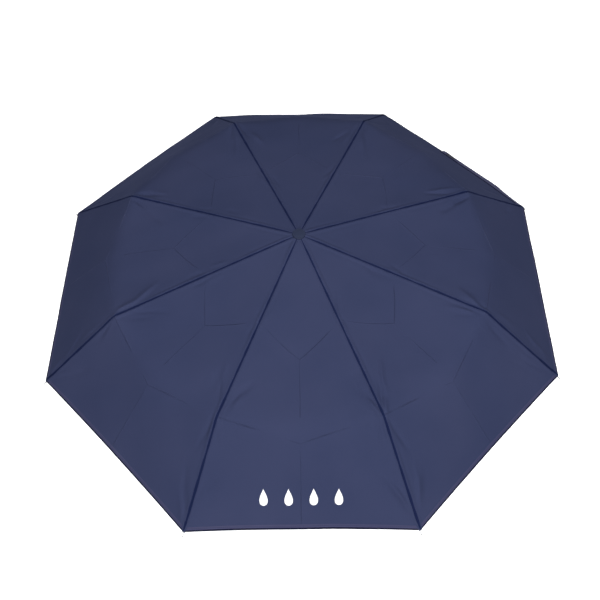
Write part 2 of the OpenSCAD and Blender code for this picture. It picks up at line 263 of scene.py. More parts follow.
def seam_half(u, k):
    """Half the seam's width, which swells and narrows a little along the rib."""
    swell = 1 + 0.2 * np.sin(u * 2 * math.pi / (83 * MM) + 2.1 * k) * np.sin(u * 2 * math.pi / (47 * MM) + k)
    return (1.55 + 0.6 * np.clip((u - FIRST[0]) / (TIP[0] - FIRST[0]), 0, 1)) * MM * swell


def columns(half, seam):
    """Places across a strip, for arrays of its half width and its seam's half width."""
    half, seam = half[:, None], seam[:, None]
    near = np.minimum(seam * NEAR_STEPS / SEAM_COLUMNS, 0.8 * half)
    first = near * np.linspace(0, 1, NEAR_STEPS, endpoint=False)
    rest = near + (half - near) * np.linspace(0, 1, FAR_STEPS) ** 1.5
    right = np.concatenate([first, rest], 1)
    return np.concatenate([-right[:, :0:-1], right], 1)


def grid_inner(u0, u1, rows, k):
    u = np.linspace(u0, u1, rows)
    v = columns(u * math.tan(HALF), seam_half(u, k))
    return u[:, None] + 0 * v, v


def hem_line(t):
    """The hem of one rib's strip of cloth, from its corner (t = 0) to the middle of each gore."""
    far = TIP[0] * math.cos(HALF)
    middle = np.array([far * math.cos(HALF), far * math.sin(HALF)])
    a = np.abs(t)
    sag = HEM_SAG * (1 - (1 - a) ** 2)
    u = TIP[0] + a * (middle[0] - TIP[0]) - sag * math.cos(HALF)
    v = a * middle[1] - sag * math.sin(HALF)
    return u, v * np.sign(t)


def grid_outer(rows, k):
    s = np.linspace(0, 1, rows)
    _, edge = hem_line(np.array([1.0]))
    inner_half = BEND[0] * math.tan(HALF)
    v = columns(inner_half + s * (edge[0] - inner_half), seam_half(BEND[0] + s * (TIP[0] - BEND[0]), k))
    share = v / v[:, -1:]
    u1, _ = hem_line(share)
    return BEND[0] + s[:, None] * (u1 - BEND[0]), v


def turned(k, u, v):
    a = rib_angle(k)
    return u * math.cos(a) - v * math.sin(a), u * math.sin(a) + v * math.cos(a)


# ---------------------------------------------------------------- mesh helpers

WELD = 0.001 * MM


class Build:
    """Collects faces with their own normals and cloth coordinates, and welds them into one closed mesh."""

    def __init__(self):
        self.verts, self.faces, self.slots, self.normals, self.uvs = [], [], [], [], []
        self.count = 0

    def add(self, points, normals, uv=None):
        points = np.asarray(points, float).reshape(-1, 3)
        first = self.count
        self.verts.append(points)
        self.normals.append(np.asarray(normals, float).reshape(-1, 3))
        self.uvs.append(np.zeros((len(points), 2)) if uv is None else np.asarray(uv, float).reshape(-1, 2))
        self.count += len(points)
        return first

    def quads(self, faces, slot=0):
        self.faces.extend(np.asarray(faces, int).tolist())
        self.slots.extend([slot] * len(faces))

    def grid(self, points, normals, slot=0, uv=None):
        """A sheet of quads, wound so that its faces look the way its normals do."""
        rows, cols = points.shape[:2]
        facing = np.cross(points[:-1, 1:] - points[:-1, :-1], points[1:, :-1] - points[:-1, :-1])
        flip = np.sum(facing * normals[:-1, :-1]) < 0
        first = self.add(points, normals, uv)
        i = first + np.arange(rows - 1)[:, None] * cols + np.arange(cols - 1)[None, :]
        quad = np.stack([i, i + 1, i + cols + 1, i + cols], -1).reshape(-1, 4)
        if flip:
            quad = quad[:, ::-1]
        self.faces.extend(quad.tolist())
        self.slots.extend(np.broadcast_to(np.asarray(slot).reshape(-1), len(quad)).tolist())

    def cap(self, points, inside, slot=0):
        """Closes an open end with one flat face that looks away from a point inside the piece."""
        centre = points.mean(0)
        normal = np.zeros(3)
        for p, q in zip(points, np.roll(points, -1, 0)):
            normal += np.cross(p - centre, q - centre)
        normal /= max(np.linalg.norm(normal), 1e-12)
        order = list(range(len(points)))
        if np.dot(normal, centre - inside) < 0:
            normal, order = -normal, order[::-1]
        first = self.add(points, np.tile(normal, (len(points), 1)))
        self.faces.append([first + i for i in order])
        self.slots.append(slot)

    def object(self, name, materials):
        verts, normals, uvs = (np.concatenate(x) for x in (self.verts, self.normals, self.uvs))
        keys = np.round(verts / WELD).astype(np.int64)
        _, kept, welded = np.unique(keys, axis=0, return_index=True, return_inverse=True)
        welded = welded.reshape(-1)
        faces, corners, slots = [], [], []
        for face, slot in zip(self.faces, self.slots):
            pairs = [(welded[i], i) for i in face]
            clean = [p for n, p in enumerate(pairs) if p[0] != pairs[n - 1][0]]
            if len({p[0] for p in clean}) == len(clean) >= 3:
                faces.append([int(p[0]) for p in clean])
                corners.extend(p[1] for p in clean)
                slots.append(slot)
        mesh = bpy.data.meshes.new(name)
        mesh.from_pydata(verts[kept].tolist(), [], faces)
        for m in materials:
            mesh.materials.append(m)
        mesh.polygons.foreach_set("material_index", slots)
        mesh.polygons.foreach_set("use_smooth", [True] * len(faces))
        layer = mesh.uv_layers.new(name="cloth")
        layer.data.foreach_set("uv", uvs[corners].ravel())
        mesh.update()
        mesh.normals_split_custom_set(normals[corners].tolist())
        obj = bpy.data.objects.new(name, mesh)
        bpy.context.scene.collection.objects.link(obj)
        return obj


def smooth_object(name, verts, faces, materials, slots=None, smooth=True):
    mesh = bpy.data.meshes.new(name)
    mesh.from_pydata([tuple(v) for v in verts], [], [tuple(f) for f in faces])
    for m in materials:
        mesh.materials.append(m)
    if slots is not None:
        mesh.polygons.foreach_set("material_index", list(slots))
    mesh.polygons.foreach_set("use_smooth", [smooth] * len(mesh.polygons))
    mesh.update()
    obj = bpy.data.objects.new(name, mesh)
    bpy.context.scene.collection.objects.link(obj)
    return obj


# ---------------------------------------------------------------- materials


def material(name, color, roughness=0.5, metallic=0.0, sheen=0.0, ior=1.5, specular=0.5):
    m = bpy.data.materials.new(name)
    m.use_nodes = True
    shader = m.node_tree.nodes["Principled BSDF"]
    shader.inputs["Base Color"].default_value = (*color, 1)
    shader.inputs["Roughness"].default_value = roughness
    shader.inputs["Metallic"].default_value = metallic
    shader.inputs["IOR"].default_value = ior
    shader.inputs["Specular IOR Level"].default_value = specular
    if sheen:
        shader.inputs["Sheen Weight"].default_value = sheen
        shader.inputs["Sheen Roughness"].default_value = 0.45
        shader.inputs["Sheen Tint"].default_value = (0.45, 0.52, 0.95, 1)
    return m, m.node_tree.nodes, m.node_tree.links, shader


def object_coords(nodes):
    return nodes.new("ShaderNodeTexCoord").outputs["Object"]


def noise(nodes, links, vector, scale, detail=3.0):
    n = nodes.new("ShaderNodeTexNoise")
    n.inputs["Scale"].default_value = scale
    n.inputs["Detail"].default_value = detail
    links.new(vector, n.inputs["Vector"])
    return n.outputs["Fac"]


def ramp(nodes, links, fac, low, high, color_a, color_b):
    r = nodes.new("ShaderNodeValToRGB")
    r.color_ramp.elements[0].position, r.color_ramp.elements[1].position = low, high
    r.color_ramp.elements[0].color = (*color_a, 1)
    r.color_ramp.elements[1].color = (*color_b, 1)
    links.new(fac, r.inputs["Fac"])
    return r.outputs["Color"]


def math_node(nodes, links, operation, a, b=None):
    n = nodes.new("ShaderNodeMath")
    n.operation = operation
    for socket, value in zip(n.inputs, (a, b)):
        if value is None:
            continue
        if isinstance(value, (int, float)):
            socket.default_value = value
        else:
            links.new(value, socket)
    return n.outputs[0]


def bump(nodes, links, shader, height):
    """Bump from a height in metres."""
    b = nodes.new("ShaderNodeBump")
    b.inputs["Distance"].default_value = 1
    links.new(height, b.inputs["Height"])
    links.new(b.outputs["Normal"], shader.inputs["Normal"])


def vary_roughness(nodes, links, shader, fac, low, high):
    r = nodes.new("ShaderNodeMapRange")
    r.inputs["To Min"].default_value = low
    r.inputs["To Max"].default_value = high
    links.new(fac, r.inputs["Value"])
    links.new(r.outputs["Result"], shader.inputs["Roughness"])


class Cloth:
    """Node sums over the piece's own cloth coordinates, in metres: out along the rib, and across."""

    def __init__(self, nodes, links):
        self.nodes, self.links = nodes, links
        uv = nodes.new("ShaderNodeUVMap")
        uv.uv_map = "cloth"
        split = nodes.new("ShaderNodeSeparateXYZ")
        links.new(uv.outputs["UV"], split.inputs[0])
        self.place, self.u, self.v = uv.outputs["UV"], split.outputs[0], split.outputs[1]

    def do(self, operation, a, b=None):
        return math_node(self.nodes, self.links, operation, a, b)

    def line(self, distance, width, height):
        """A soft ridge along the line where distance is zero."""
        near = self.do("SUBTRACT", 1, self.do("DIVIDE", self.do("ABSOLUTE", distance), width))
        near = self.do("MAXIMUM", near, 0)
        return self.do("MULTIPLY", self.do("MULTIPLY", near, near), height)

    def weave(self, pitch, height):
        turn = 2 * math.pi / pitch
        warp = self.do("SINE", self.do("MULTIPLY", self.u, turn))
        weft = self.do("SINE", self.do("MULTIPLY", self.v, turn))
        return self.do("MULTIPLY", self.do("MULTIPLY", warp, weft), height)

    def fold_lines(self):
        """The V creases at both elbows, the crease down the middle of each gore, and stray ones."""
        side = self.do("ABSOLUTE", self.v)
        chord = self.do("ADD", self.u, self.do("MULTIPLY", side, math.tan(HALF)))
        middle = self.do("DIVIDE", side, self.do("MAXIMUM", self.do("MULTIPLY", self.u, math.tan(HALF)), MM))
        worn = noise(self.nodes, self.links, self.place, 14, 2)
        worn = self.do("MAXIMUM", self.do("MULTIPLY", self.do("SUBTRACT", worn, 0.38), 5), 0)
        worn = self.do("MINIMUM", worn, 1)
        total = None
        for level, out, height in ((FIRST[0], FIRST_OUT, 1.0), (BEND[0], BEND_OUT, 1.5)):
            distance = self.do("SUBTRACT", self.do("SUBTRACT", chord, level), self.do("MULTIPLY", middle, out))
            ridge_here = self.line(distance, 2.2 * MM, height * MM)
            total = ridge_here if total is None else self.do("ADD", total, ridge_here)
        gap = self.do("MULTIPLY", self.do("SUBTRACT", 1, middle), self.u)
        inside = self.do("MULTIPLY", self.do("GREATER_THAN", chord, FIRST[0] + FIRST_OUT),
                         self.do("LESS_THAN", chord, BEND[0]))
        inside = self.do("ADD", inside, self.do("GREATER_THAN", chord, BEND[0] + BEND_OUT))
        total = self.do("ADD", total, self.do("MULTIPLY", self.line(gap, 3.2 * MM, 0.8 * MM), inside))
        cells = self.nodes.new("ShaderNodeTexVoronoi")
        cells.feature = "DISTANCE_TO_EDGE"
        cells.inputs["Scale"].default_value = 9
        self.links.new(self.place, cells.inputs["Vector"])
        stray = self.line(cells.outputs["Distance"], 0.020, 0.2 * MM)
        few = noise(self.nodes, self.links, self.place, 31, 1)
        few = self.do("MULTIPLY", self.do("SUBTRACT", few, 0.55), 8)
        few = self.do("MINIMUM", self.do("MAXIMUM", few, 0), 1)
        return self.do("ADD", self.do("MULTIPLY", total, worn), self.do("MULTIPLY", stray, few))


def cloth_material(name, color, light, roughness=0.78, sheen=0.05, pitch=0.7 * MM, creased=False):
    m, nodes, links, shader = material(name, color, roughness, sheen=sheen, ior=1.25, specular=0.05)
    where = object_coords(nodes)
    cloth = Cloth(nodes, links)
    fine = noise(nodes, links, where, 900, 2)
    wide = noise(nodes, links, where, 9, 3)
    both = cloth.do("ADD", cloth.do("MULTIPLY", fine, 0.35), cloth.do("MULTIPLY", wide, 0.65))
    links.new(ramp(nodes, links, both, 0.34, 0.66, color, light), shader.inputs["Base Color"])
    height = cloth.do("ADD", cloth.weave(pitch, 0.012 * MM), cloth.do("MULTIPLY", fine, 0.016 * MM))
    if creased:
        height = cloth.do("ADD", height, cloth.fold_lines())
    bump(nodes, links, shader, height)
    vary_roughness(nodes, links, shader, fine, roughness - 0.06, roughness + 0.08)
    return m


# Bare metal would be 1. The floor and backdrop of this stage are hidden from reflections, so pure metal came out dark
# and speckled here, and a diffuse share was added to lift it.
METAL_SHARE = 0.6


def metal_material(name, color, dark, roughness, scratch=1.0):
    m, nodes, links, shader = material(name, color, roughness, metallic=METAL_SHARE)
    where = object_coords(nodes)
    stretch = nodes.new("ShaderNodeMapping")
    stretch.inputs["Scale"].default_value = (1, 1, 0.06)
    links.new(where, stretch.inputs["Vector"])
    lines = noise(nodes, links, stretch.outputs["Vector"], 2600, 2)
    spots = noise(nodes, links, where, 160, 4)
    links.new(ramp(nodes, links, spots, 0.35, 0.7, dark, color), shader.inputs["Base Color"])
    vary_roughness(nodes, links, shader, lines, roughness * 0.8, roughness * 1.35)
    bump(nodes, links, shader, math_node(nodes, links, "MULTIPLY", lines, 0.004 * scratch * MM))
    return m


def plastic_material(name, color, light, roughness, grain_scale=1800, depth=0.04, ior=1.5):
    m, nodes, links, shader = material(name, color, roughness, ior=ior)
    where = object_coords(nodes)
    grain = noise(nodes, links, where, grain_scale, 3)
    patches = noise(nodes, links, where, 60, 4)
    links.new(ramp(nodes, links, patches, 0.3, 0.75, color, light), shader.inputs["Base Color"])
    vary_roughness(nodes, links, shader, patches, roughness - 0.07, roughness + 0.1)
    bump(nodes, links, shader, math_node(nodes, links, "MULTIPLY", grain, depth * MM))
    return m


CLOTH = cloth_material("navy_cloth", (0.0208, 0.0262, 0.0585), (0.0248, 0.0298, 0.0640), creased=True)
# Seam colour: a darker navy along each rib, painted shade for the shadow in the groove between two gores.
SEAM_SHADE = cloth_material("seam_painted_shade", (0.0052, 0.0082, 0.0290), (0.0068, 0.0102, 0.0340), roughness=0.8, sheen=0.01)
# Edge colour: a very dark navy, painted shade for edges turned from the light: the hem's rolled fold and the strap's
# edge towards the crown.
EDGE_SHADE = cloth_material("edge_painted_shade", (0.0035, 0.0045, 0.0150), (0.0050, 0.0065, 0.0200), sheen=0.01)
HEM = cloth_material("hem_cloth", (0.0310, 0.0320, 0.0680), (0.0360, 0.0370, 0.0740))
# Strap colour: lighter than the canopy's cloth, and part of that lightness is a painted highlight on the band.
STRAP_AND_HIGHLIGHT = cloth_material("strap_cloth", (0.0450, 0.0460, 0.0880), (0.0540, 0.0550, 0.1000), pitch=0.9 * MM)
THREAD = cloth_material("navy_thread", (0.0120, 0.0150, 0.0420), (0.0180, 0.0220, 0.0580), pitch=0.3 * MM)
PRINT = plastic_material("white_print", (0.62, 0.62, 0.62), (0.66, 0.66, 0.66), 0.6, 2400, 0.004)
CAP = plastic_material("navy_cap", (0.0115, 0.0160, 0.0370), (0.0135, 0.0185, 0.0410), 0.75, 1500, 0.012, ior=1.25)
HOOKS = plastic_material("hook_tape", (0.016, 0.018, 0.03), (0.03, 0.033, 0.05), 0.8, 1500, 0.3)
STEEL = metal_material("rib_steel", (0.48, 0.49, 0.51), (0.38, 0.39, 0.41), 0.34, 0.4)
TUBE = metal_material("shaft_steel", (0.56, 0.57, 0.59), (0.51, 0.52, 0.54), 0.28, 0.15)
TAIL = plastic_material("coated_wire", (0.018, 0.018, 0.02), (0.03, 0.03, 0.033), 0.35, 900, 0.02)
TIP_METAL = metal_material("tip_metal", (0.70, 0.71, 0.73), (0.6, 0.61, 0.63), 0.22, 0.5)
BLACK = plastic_material("black_nylon", (0.014, 0.014, 0.016), (0.024, 0.024, 0.027), 0.42)
RUBBER = plastic_material("soft_grip", (0.012, 0.012, 0.014), (0.02, 0.02, 0.023), 0.6, 1200, 0.08)


# ---------------------------------------------------------------- canopy

CLOTH_SLOTS = [CLOTH, SEAM_SHADE, EDGE_SHADE, THREAD, HEM]
HEM_W = 6.5 * MM


def edge_walls(build, outer, inner, normal):
    """Closes the four edges between the outer and the inner face of a strip of cloth."""
    middle = outer.reshape(-1, 3).mean(0)
    for pick in (np.s_[0, :], np.s_[-1, :], np.s_[:, 0], np.s_[:, -1]):
        a, b, n = outer[pick], inner[pick], normal[pick]
        side = np.cross(np.gradient(a, axis=0), n)
        side /= np.maximum(np.linalg.norm(side, axis=1, keepdims=True), 1e-9)
        if np.sum(side * (a - middle)) < 0:
            side = -side
        build.grid(np.stack([a, b]), np.stack([side, side]))


STITCH_RINGS = ((0, 0.25), (0.18, 0.9), (0.5, 1.0), (0.82, 0.9), (1, 0.25))
STITCH_SIDES = np.radians(np.arange(0, 360, 60))


def add_stitch(build, start, end, normal, slot):
    """One thread stitch lying on the cloth: a low rounded bar."""
    along = end - start
    length = np.linalg.norm(along)
    along = along / length
    side = np.cross(normal, along)
    rings, normals = [], []
    for place, size in STITCH_RINGS:
        for a in STITCH_SIDES:
            out = side * math.cos(a) + normal * math.sin(a)
            rings.append(start + along * length * place + out * 0.26 * MM * size)
            normals.append(out)
    first = build.add(rings, normals)
    sides = len(STITCH_SIDES)
    build.quads([
        (first + r * sides + i, first + r * sides + (i + 1) % sides,
         first + (r + 1) * sides + (i + 1) % sides, first + (r + 1) * sides + i)
        for r in range(len(STITCH_RINGS) - 1) for i in range(sides)
    ], slot)
    build.cap(np.array(rings[:sides]), (start + end) / 2, slot)
    build.cap(np.array(rings[-sides:]), (start + end) / 2, slot)


def stitch_row(build, points, normals, slot, pitch=3.4 * MM, stitch=2.5 * MM):
    """Evenly spaced stitches along a line on the cloth."""
    length = np.concatenate([[0], np.cumsum(np.linalg.norm(np.diff(points, axis=0), axis=1))])

    def at(s, values):
        return np.array([np.interp(s, length, values[:, c]) for c in range(3)])

    for s in np.arange(pitch / 2, length[-1] - stitch, pitch):
        n = at(s, normals)
        add_stitch(build, at(s, points), at(s + stitch, points), n / np.linalg.norm(n), slot)


def on_cloth(k, u, v, lift):
    """Points that stand a given height off the cloth's outer face, and the cloth's normals there."""
    points, normals = cloth_frame(*turned(k, np.asarray(u, float), np.asarray(v, float)))
    return points + normals * lift, normals


def sweep(build, points, uv, slot=0):
    """A band whose section is a closed ring, first axis, carried along its length, second axis."""
    cross = np.roll(points[:-1], -1, 0) - np.roll(points[:-1], 1, 0)
    cross = np.concatenate([cross, cross[:1]])
    normal = np.cross(np.gradient(points, axis=1), cross)
    normal /= np.maximum(np.linalg.norm(normal, axis=-1, keepdims=True), 1e-9)
    inward = np.sum(normal * (points - points.mean(0, keepdims=True))) < 0
    build.grid(points, -normal if inward else normal, slot=slot, uv=uv)
    build.cap(points[:-1, 0], points[:-1, 1].mean(0))
    build.cap(points[:-1, -1], points[:-1, -2].mean(0))


# the hem's section: distance in from the edge, height off the cloth, and its material
# slot 2 takes the edge material: the outer part of the hem and its fold carry painted shade
HEM_TOP = ((HEM_W, 0.05, 4), (HEM_W - 0.4 * MM, 0.34, 4), (5.0 * MM, 0.36, 4), (4.4 * MM, 0.14, 4),
           (3.8 * MM, 0.36, 4), (2.5 * MM, 0.42, 2), (0.3 * MM, 0.3, 2), (0.0, -0.15, 2))
HEM_UNDER = ((0.3 * MM, -0.75, 2), (1.2 * MM, -0.85, 0), (HEM_W - 0.4 * MM, -0.82, 0), (HEM_W, -0.45, 0))


def hem_place(t, inward):
    u, v = hem_line(t)
    turn = np.arctan2(v, u)
    return u - inward * np.cos(turn), v - inward * np.sin(turn)


def make_hem(k):
    """The turned and stitched hem along the outer edge of one strip."""
    t = np.linspace(-1, 1, 121)
    section = HEM_TOP + HEM_UNDER + HEM_TOP[:1]
    points = np.array([on_cloth(k, *hem_place(t, inward), lift * MM)[0] for inward, lift, _ in section])
    slots = np.repeat([s for _, _, s in section[:-1]], len(t) - 1)
    build = Build()
    uv = np.stack(np.broadcast_arrays(t[None, :] * 0.18, np.array([[s[0]] for s in section])), -1)
    sweep(build, points, uv, slots)
    line, up = on_cloth(k, *hem_place(t, 4.4 * MM), 0.3 * MM)
    stitch_row(build, line, up, 3)
    return build.object(f"hem_{k}", CLOTH_SLOTS)


def with_rib(obj, body):
    """Lets a piece of cloth ride one rib section, on a mesh of its own."""
    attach(obj, body)
    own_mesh(obj)


SEAM_ROW = 3.1 * MM


def cloth_strip(name, k, u, v):
    outer, normal = cloth_frame(*turned(k, u, v))
    inner = outer - normal * CLOTH_T
    build = Build()
    column = np.arange(u.shape[1] - 1) - u.shape[1] // 2
    # these columns take the seam material: painted shade along the rib
    in_seam_shade = (column >= -SEAM_COLUMNS) & (column < SEAM_COLUMNS)
    slots = np.tile(np.where(in_seam_shade, 1, 0), u.shape[0] - 1)
    uv = np.stack([u, v], -1)
    build.grid(outer, normal, slot=slots, uv=uv)
    build.grid(inner, -normal, slot=slots, uv=uv)
    edge_walls(build, outer, inner, normal)
    line = np.linspace(u[0, 0] + SEAM_ROW, u[-1, u.shape[1] // 2] - SEAM_ROW, 120)
    line = line[np.abs(line) * math.tan(HALF) > 1.5 * SEAM_ROW]
    for side in (-SEAM_ROW, SEAM_ROW):
        points, up = on_cloth(k, line, np.full_like(line, side), 0.05 * MM)
        stitch_row(build, points, up, 3)
    return build.object(name, CLOTH_SLOTS)


def make_canopy():
    for k in range(1, RIBS + 1):
        parts = (
            ("canopy_inner", "top_rib", grid_inner(ROOT[0], FIRST[0], 48, k), SLOPE_IN),
            ("canopy_middle", "mid_rib", grid_inner(FIRST[0], BEND[0], 62, k), SLOPE_IN),
            ("canopy_outer", "tail_rib", grid_outer(72, k), SLOPE_OUT),
        )
        for name, body, (u, v), slope in parts:
            obj = cloth_strip(f"{name}_{k}", k, u, v)
            extras = [make_hem(k)] if body == "tail_rib" else []
            for piece in (obj, *extras):
                with_rib(piece, f"{body}_{k}")
            if name == "canopy_inner" and k == 1:
                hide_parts("canopy")


make_canopy()


# ---------------------------------------------------------------- closure strap

STRAP_LEN = 200 * MM
STRAP_W = 19 * MM
STRAP_FROM_RIB = 6 * MM
STRAP_FROM_HEM = 5 * MM
STRAP_CURL = 3.2 * MM  # how far its hem side stands off the cloth
STRAP_RAMP = 60 * MM  # the length over which it starts to
STRAP_END = 6 * MM  # the length of its rounded free end
PATCH_FROM, PATCH_TO = 34 * MM, 12 * MM  # the hook patch, back from the free end


def strap_point(s, w, lift):
    """A point of the strap, s along it from its sewn end and w across it from the hem side.

    The band is loose, so away from its sewn end its hem side curls up off the cloth."""
    back = STRAP_FROM_HEM + w
    reach = TIP[0] - back / math.hypot(1, SLOPE_OUT)
    half = reach * math.sin(HALF)
    across = half - STRAP_FROM_RIB - s
    angle = np.arctan2(-across, reach * math.cos(HALF))
    share = 1 - (np.abs(angle) / HALF) ** 2
    radius = reach * math.cos(HALF) / np.cos(angle) - HEM_SAG * share * (1 - 0.25 * w / STRAP_W)
    azimuth = GORE + angle
    points, normals = cloth_frame(radius * np.cos(azimuth), radius * np.sin(azimuth))
    raised = lift + STRAP_CURL * (1 - w / STRAP_W) * np.clip(s / STRAP_RAMP, 0, 1) ** 2
    return points + normals * raised[..., None], normals


def make_strap():
    """A single woven band, edge-stitched, with a hook patch near its free end."""
    along = np.linspace(0, STRAP_LEN, 121)
    section = ((0, 0.75), (0.3, 1.15), (1.3, 1.22), (2.0, 1.05), (2.7, 1.22), (16.3, 1.22), (17.0, 1.05),
               (17.7, 1.22), (18.7, 1.15), (19, 0.75), (18.6, 0.2), (0.4, 0.2), (0, 0.75))
    dark = 2  # the edge that faces the crown takes the edge material, a painted shadow along it
    slots = np.repeat([dark if 17.7 <= w < 19.5 and h > 0.5 else 0 for w, h in section[:-1]], len(along) - 1)
    build = Build()
    rows = [strap_point(along, np.full_like(along, w * MM), h * MM)[0] for w, h in section]
    points = np.array(rows)
    end = np.clip((along - (STRAP_LEN - STRAP_END)) / STRAP_END, 0, 1)[None, :, None]
    centre = points[:-1].mean(0, keepdims=True)
    points = points + (centre - points) * 0.35 * end**3
    across = np.array([[w * MM] for w, _ in section])
    uv = np.stack(np.broadcast_arrays(along[None, :], across), -1)
    sweep(build, points, uv, slots)
    for w in (2.0, 17.0):
        inside = along[(along > 2 * MM) & (along < STRAP_LEN - 8 * MM)]
        line, up = strap_point(inside, np.full_like(inside, w * MM), 1.15 * MM)
        stitch_row(build, line, up, 1)
    band = build.object("closure_band", [STRAP_AND_HIGHLIGHT, THREAD, EDGE_SHADE])
    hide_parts("closure_strap")

    s = np.linspace(STRAP_LEN - PATCH_FROM, STRAP_LEN - PATCH_TO, 12)
    w = np.linspace(4 * MM, 15 * MM, 8)
    grid_s, grid_w = np.meshgrid(s, w, indexing="ij")
    dome = 1 - np.maximum(np.abs(np.linspace(-1, 1, 12))[:, None], np.abs(np.linspace(-1, 1, 8))[None, :]) ** 6
    lifted, up = [], None
    for i in range(len(s)):
        p, n = strap_point(grid_s[i], grid_w[i], 0)
        lifted.append(p + n * (1.2 * MM + dome[i][:, None] * 0.5 * MM))
        up = n if up is None else np.vstack([up, n])
    patch = Build()
    patch.grid(np.array(lifted), up.reshape(len(s), len(w), 3), uv=np.stack([grid_s, grid_w], -1))
    hooks = patch.object("closure_hooks", [HOOKS])
    for piece in (band, hooks):
        with_rib(piece, "tail_rib_1")


make_strap()


# ---------------------------------------------------------------- cap, corner pockets and ties


def lathe(name, profile, materials, steps=96, wave=None, slots=None):
    """Turns a profile of (radius, height) about the shaft. wave(angle, radius) changes the radius."""
    turn = np.linspace(0, 2 * math.pi, steps, endpoint=False)
    rings = []
    for r, z in profile:
        radius = np.full(steps, r) if wave is None else wave(turn, r)
        rings.append(np.stack([radius * np.cos(turn), radius * np.sin(turn), np.full(steps, z)], -1))
    verts = np.concatenate(rings)
    faces, numbers = [], []
    for i in range(len(profile) - 1):
        for j in range(steps):
            n = (j + 1) % steps
            faces.append((i * steps + j, i * steps + n, (i + 1) * steps + n, (i + 1) * steps + j))
            numbers.append(0 if slots is None else slots[i])
    return smooth_object(name, verts, faces, materials, numbers)


def make_cap():
    """The moulded cap over the crown, with a lightly scalloped rim and a shallow domed button."""
    low, high = CAP_LOW[2], CAP_HIGH[2]
    rim = CAP_HIGH[0]
    profile = [
        (4.0 * MM, low + 0.1 * MM), (rim - 0.6 * MM, low + 0.1 * MM), (rim, low + 0.6 * MM),
        (rim, high - 1.5 * MM), (rim - 0.35 * MM, high - 0.95 * MM), (rim - 1.0 * MM, high - 0.62 * MM),
        (rim - 2.4 * MM, high - 0.5 * MM), (rim - 2.9 * MM, high - 0.72 * MM), (rim - 3.4 * MM, high - 0.5 * MM),
        (rim * 0.45, high - 0.15 * MM), (rim * 0.2, high - 0.03 * MM), (0.05 * MM, high),
    ]

    def scallop(turn, r):
        depth = 0.32 * MM * np.clip((r - 0.75 * rim) / (0.25 * rim), 0, 1)
        return r - depth * (0.5 + 0.5 * np.cos(16 * turn))

    cap = lathe("cap_cover", profile, [CAP], steps=192, wave=scallop)
    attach(cap, "upper_shaft")
    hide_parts("top_cap")


def make_corner(k):
    """The sewn pocket that holds the end of a rib at the canopy's corner."""
    build = Build()
    u = np.linspace(TIP[0] - 15 * MM, TIP[0] - 1.0 * MM, 14)
    side = np.linspace(-1, 1, 11)
    place = (u - u[0]) / (u[-1] - u[0])
    grid_u = u[:, None] + 0 * side[None, :]
    grid_v = side[None, :] * (6.0 - 3.2 * place[:, None]) * MM
    points, up = on_cloth(k, grid_u, grid_v, 0)
    puff = (1 - side[None, :] ** 2) * (0.5 + 0.5 * np.sin(math.pi * place[:, None]))
    points = points + up * (0.35 * MM + 0.9 * MM * puff)[..., None]
    # the middle of the pocket takes the seam material, so the seam's painted shade runs on to the corner
    centre = np.abs(side[:-1] + side[1:]) / 2 < 0.35
    slots = np.tile(np.where(centre, 2, 0), len(u) - 1)
    build.grid(points, up, slot=slots, uv=np.stack([grid_u, grid_v], -1))
    build.grid(points - up * 0.3 * MM, -up, uv=np.stack([grid_u, grid_v], -1))
    for edge in (0, -1):
        line = points[:, edge] * 0.86 + points[:, len(side) // 2] * 0.14
        stitch_row(build, line, up[:, edge], 1, pitch=2.6 * MM, stitch=1.8 * MM)
    pocket = build.object(f"corner_pocket_{k}", [CLOTH, THREAD, SEAM_SHADE])
    with_rib(pocket, f"tail_rib_{k}")


for rib in range(1, RIBS + 1):
    make_corner(rib)


def make_tie(name, k, body, pivot_at, along, slope, half_height):
    """A few turns of thread that hold the seam down to the rib under it."""
    build = Build()
    a = rib_angle(k)
    out = np.array([math.cos(a), math.sin(a), 0])
    across = np.array([-math.sin(a), math.cos(a), 0])
    axis = out * math.cos(slope) - np.array([0, 0, math.sin(slope)])
    up = out * math.sin(slope) + np.array([0, 0, math.cos(slope)])
    centre = out * pivot_at[0] + np.array([0, 0, pivot_at[1]]) + axis * along
    turns, steps, sides = 5, 20, 6
    path, frames = [], []
    for i in range(turns * steps + 1):
        t = 2 * math.pi * i / steps
        radial = across * math.cos(t) + up * math.sin(t)
        path.append(centre + across * 2.75 * MM * math.cos(t) + up * half_height * math.sin(t)
                    + axis * 0.42 * MM * (i / steps - turns / 2))
        frames.append((radial, axis))
    rings, normals = [], []
    for p, (radial, side) in zip(path, frames):
        for c in np.linspace(0, 2 * math.pi, sides, endpoint=False):
            n = radial * math.cos(c) + side * math.sin(c)
            rings.append(p + n * 0.22 * MM)
            normals.append(n)
    first = build.add(rings, normals)
    build.quads([
        (first + i * sides + j, first + i * sides + (j + 1) % sides,
         first + (i + 1) * sides + (j + 1) % sides, first + (i + 1) * sides + j)
        for i in range(len(path) - 1) for j in range(sides)
    ])
    tie = build.object(f"{name}_{k}", [THREAD])
    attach(tie, f"{body}_{k}")


TIE_INNER_AT = 112 * MM  # out along the rib from its pivot
TIE_MIDDLE_AT = 96 * MM

make_cap()
for rib in range(1, RIBS + 1):
    make_tie("tie_inner", rib, "top_rib", CROWN_PIVOT, TIE_INNER_AT, INNER_SLOPE, 2.35 * MM)
    make_tie("tie_middle", rib, "mid_rib", ELBOW_1, TIE_MIDDLE_AT, INNER_SLOPE, 1.95 * MM)


# ---------------------------------------------------------------- mark on the front panel


def drop_outline(count=28):
    """A raindrop about a unit high, as points round its edge."""
    t = np.linspace(0, 2 * math.pi, count, endpoint=False)
    width = 0.36 * np.sin(t) * np.sin(t / 2) ** 1.4
    return width * 1.25, 0.5 * np.cos(t)


